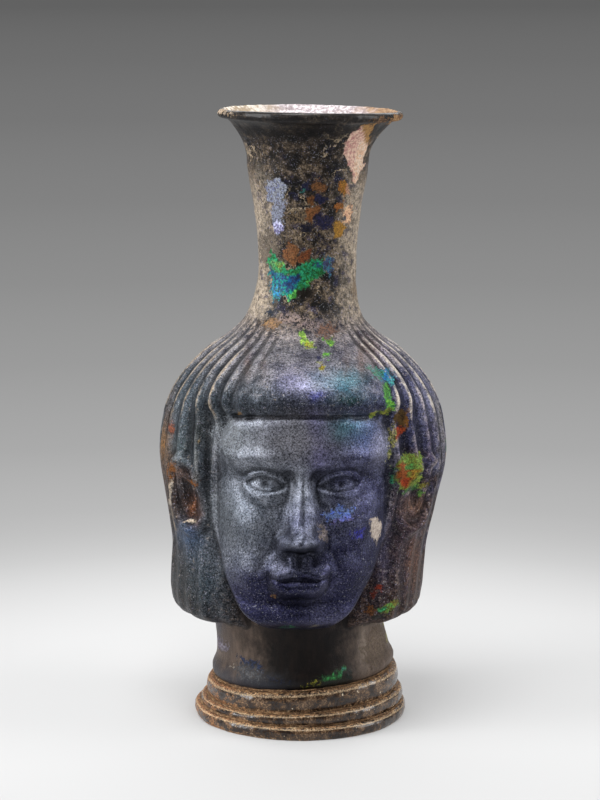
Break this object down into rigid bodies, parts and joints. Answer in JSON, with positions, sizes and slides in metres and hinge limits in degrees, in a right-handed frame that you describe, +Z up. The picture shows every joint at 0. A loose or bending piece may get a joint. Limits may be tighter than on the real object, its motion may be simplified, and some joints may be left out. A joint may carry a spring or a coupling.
{
  "type": "mold-blown glass head flask",
  "caption": "Tall-necked blown glass flask moulded as a head with combed hair, on a foot of glass trails.",
  "frame": {"origin": "under the middle of the foot, on the plane that the flask stands on", "axes": "+Z up along the neck, -Y the way the face looks, +X to the right in a view of the face"},
  "size_m": [0.0943, 0.1029, 0.1999],
  "materials": {
    "dark_glass": "near-black purple glass with a dull grainy blue and grey weathered skin and iridescent flakes",
    "soiled_glass": "brown-black glass, glossy on the ridges, with orange-brown soil in the grooves",
    "pontil_glass": "dark broken glass with soil in the scar"
  },
  "bodies": {
    "root": {"flask_body": "dark_glass", "foot_top_ring": "soiled_glass", "foot_middle_ring": "soiled_glass", "foot_base_ring": "soiled_glass", "pontil_wad": "pontil_glass"}
  },
  "joints": []
}
